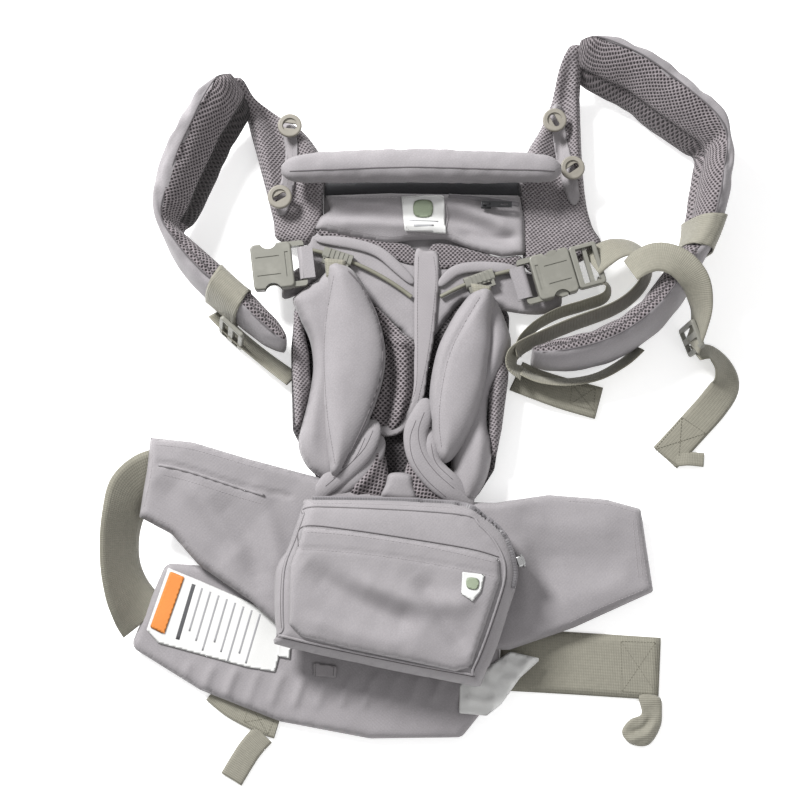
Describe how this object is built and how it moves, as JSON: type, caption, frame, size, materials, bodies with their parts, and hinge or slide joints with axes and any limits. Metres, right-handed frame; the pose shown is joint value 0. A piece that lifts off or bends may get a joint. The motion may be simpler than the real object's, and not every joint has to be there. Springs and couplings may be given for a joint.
{
  "type": "soft baby carrier",
  "caption": "Soft structured baby carrier laid flat: padded waist belt with zipped pouch, seat panel with leg pads, head pillow and two padded shoulder straps with buckles.",
  "frame": {"origin": "middle of the laid-out carrier's outline, on the surface it lies on", "axes": "+Z up from the surface, +Y from the waist belt towards the head support and shoulder straps, +X to the right seen from above with +Y up"},
  "size_m": [0.5328, 0.6414, 0.07],
  "materials": {
    "fabric": "matte plain weave",
    "air_mesh": "matte knitted spacer mesh",
    "foam": "matte foam",
    "webbing": "matte ribbed webbing",
    "elastic": "matte ribbed elastic",
    "plastic": "satin moulded",
    "button_plastic": "satin moulded",
    "label_cloth": "smooth woven tape",
    "zip_metal": "polished",
    "dark_metal": "satin",
    "zip_tape": "matte",
    "rail_cord": "satin"
  },
  "bodies": {
    "carrier": {"lumbar_pad_cover": "fabric", "lumbar_pad_foam": "foam", "waist_belt_cover": "fabric", "waist_belt_foam": "foam", "left_waist_webbing": "webbing", "right_waist_webbing": "webbing", "webbing_keepers": "elastic", "pouch_shell": "fabric", "pouch_front_pocket": "fabric", "zip_chains": "zip_tape", "seat_panel": "fabric", "upper_panel": "fabric", "hood_pocket": "fabric", "spine_strip": "fabric", "mesh_gussets": "air_mesh", "side_yokes": "fabric", "seat_rails": "rail_cord", "left_strap_base": "air_mesh", "right_strap_base": "air_mesh", "left_shoulder_strap_cover": "air_mesh", "left_shoulder_strap_foam": "foam", "right_shoulder_strap_cover": "air_mesh", "right_shoulder_strap_foam": "foam", "right_buckle_receiver": "plastic", "right_buckle_insert": "plastic", "buckle_loops": "fabric", "button_tapes": "webbing", "strap_locks": "plastic", "left_strap_webbing": "webbing", "adjuster_webbing": "webbing", "chest_webbing": "webbing", "printed_labels": "label_cloth", "safety_label": "label_cloth", "care_label": "label_cloth"},
    "left_wing": {"left_wing_cover": "fabric", "left_wing_foam": "foam", "left_wing_pocket": "fabric"},
    "right_wing": {"right_wing_cover": "fabric", "right_wing_foam": "foam"},
    "left_leg_pad": {"left_leg_pad_cover": "fabric", "left_leg_pad_foam": "foam", "left_seat_slider": "plastic"},
    "right_leg_pad": {"right_leg_pad_cover": "fabric", "right_leg_pad_foam": "foam", "right_seat_slider": "plastic"},
    "head_pillow": {"head_pillow_cover": "fabric", "head_pillow_foam": "foam"},
    "prong_upper": {"right_buckle_prong_upper": "plastic"},
    "prong_lower": {"right_buckle_prong_lower": "plastic"},
    "left_buckle": {"left_buckle_receiver": "plastic"},
    "left_upper_button": {"left_upper_button": "button_plastic"},
    "left_lower_button": {"left_lower_button": "button_plastic"},
    "right_upper_button": {"right_upper_button": "button_plastic"},
    "right_lower_button": {"right_lower_button": "button_plastic"},
    "pouch_slider": {"pouch_zip_slider": "zip_metal"},
    "pouch_pull": {"pouch_zip_pull": "zip_metal"},
    "hood_slider": {"hood_zip_slider": "dark_metal"},
    "hood_pull": {"hood_zip_pull": "dark_metal"},
    "left_keeper": {"left_strap_keeper": "elastic"},
    "right_keeper": {"right_strap_keeper": "elastic"}
  },
  "joints": [
    {"name": "left_wing_fold", "type": "hinge", "parent": "carrier", "child": "left_wing", "pos_m": [-0.12968, -0.12059, 0.026], "axis": [0, 1, 0], "range_deg": [0, 60], "deforming": ["left_waist_webbing"]},
    {"name": "right_wing_fold", "type": "hinge", "parent": "carrier", "child": "right_wing", "pos_m": [0.09133, -0.1456, 0.017], "axis": [0, -1, 0], "range_deg": [0, 60]},
    {"name": "left_leg_pad_swing", "type": "hinge", "parent": "carrier", "child": "left_leg_pad", "pos_m": [-0.13768, -0.06059, 0.0185], "axis": [0, 0, -1], "range_deg": [0, 5]},
    {"name": "right_leg_pad_swing", "type": "hinge", "parent": "carrier", "child": "right_leg_pad", "pos_m": [0.11632, -0.0816, 0.0185], "axis": [0, 0, 1], "range_deg": [0, 5]},
    {"name": "head_pillow_fold", "type": "hinge", "parent": "carrier", "child": "head_pillow", "pos_m": [-0.00168, 0.20441, 0.025], "axis": [-1, 0, 0], "range_deg": [0, 35]},
    {"name": "upper_prong_squeeze", "type": "hinge", "parent": "carrier", "child": "prong_upper", "pos_m": [0.1261, 0.1267, 0.0256], "axis": [0, 0, 1], "range_deg": [0, 12], "stiffness_Nm_per_rad": 0.3},
    {"name": "lower_prong_squeeze", "type": "hinge", "parent": "carrier", "child": "prong_lower", "pos_m": [0.13163, 0.10665, 0.0256], "axis": [0, 0, -1], "range_deg": [0, 12], "stiffness_Nm_per_rad": 0.3},
    {"name": "left_buckle_swing", "type": "hinge", "parent": "carrier", "child": "left_buckle", "pos_m": [-0.10266, 0.12116, 0.029], "axis": [-0.1219, 0.9925, 0], "range_deg": [0, 50]},
    {"name": "left_upper_button_tilt", "type": "hinge", "parent": "carrier", "child": "left_upper_button", "pos_m": [-0.11568, 0.24441, 0.028], "axis": [0.9903, -0.1392, 0], "range_deg": [-8, 8]},
    {"name": "left_lower_button_tilt", "type": "hinge", "parent": "carrier", "child": "left_lower_button", "pos_m": [-0.12367, 0.18041, 0.028], "axis": [0.866, 0.5, 0], "range_deg": [-8, 8]},
    {"name": "right_upper_button_tilt", "type": "hinge", "parent": "carrier", "child": "right_upper_button", "pos_m": [0.11432, 0.2494, 0.028], "axis": [0.4695, -0.8829, 0], "range_deg": [-8, 8]},
    {"name": "right_lower_button_tilt", "type": "hinge", "parent": "carrier", "child": "right_lower_button", "pos_m": [0.12932, 0.20641, 0.028], "axis": [0.8192, 0.5736, 0], "range_deg": [-8, 8]},
    {"name": "pouch_zip_slide", "type": "slide", "parent": "carrier", "child": "pouch_slider", "axis": [-0.3258, 0.9455, 0], "range_m": [0, 0.024]},
    {"name": "pouch_zip_pull_swing", "type": "hinge", "parent": "pouch_slider", "child": "pouch_pull", "pos_m": [0.08159, -0.13498, 0.0452], "axis": [0.3258, -0.9455, 0], "range_deg": [0, 100]},
    {"name": "hood_zip_slide", "type": "slide", "parent": "carrier", "child": "hood_slider", "axis": [-0.9998, 0.0177, 0], "range_m": [0, 0.12]},
    {"name": "hood_zip_pull_swing", "type": "hinge", "parent": "hood_slider", "child": "hood_pull", "pos_m": [0.05492, 0.17369, 0.0291], "axis": [-0.0177, -0.9998, 0], "range_deg": [0, 80]},
    {"name": "left_keeper_slide", "type": "slide", "parent": "carrier", "child": "left_keeper", "axis": [-0.7399, 0.6727, 0], "range_m": [0, 0.02]},
    {"name": "right_keeper_slide", "type": "slide", "parent": "carrier", "child": "right_keeper", "axis": [0.1504, 0.9886, 0], "range_m": [0, 0.02]}
  ]
}
